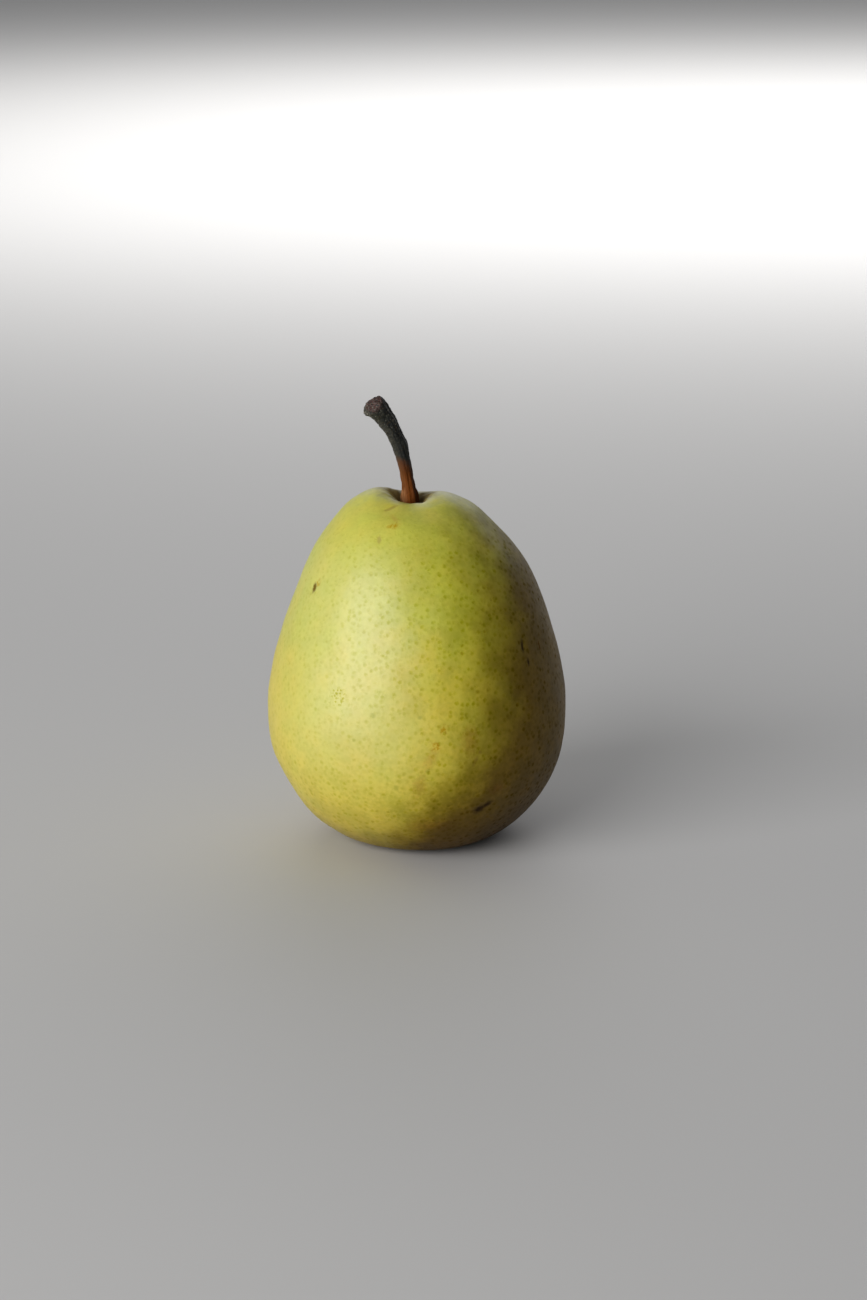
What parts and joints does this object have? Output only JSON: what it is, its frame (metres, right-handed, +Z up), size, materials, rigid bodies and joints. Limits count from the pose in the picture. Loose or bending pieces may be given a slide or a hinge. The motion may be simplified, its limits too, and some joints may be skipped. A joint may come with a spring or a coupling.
{
  "type": "pear",
  "caption": "Whole green-yellow pear with a curved woody stem and a dried calyx, standing upright on its blossom end.",
  "frame": {"origin": "middle of the pear at the level of the surface it stands on", "axes": "+Z up from the calyx to the stem, +X to the side away from which the stem bends, +Y towards the back"},
  "size_m": [0.0709, 0.0709, 0.1056],
  "materials": {
    "skin": "satin, waxy",
    "bark": "rough, dry bark",
    "dried_calyx": "rough, dry leaf"
  },
  "bodies": {
    "root": {"fruit": "skin", "stem": "bark", "calyx": "dried_calyx"}
  },
  "joints": []
}
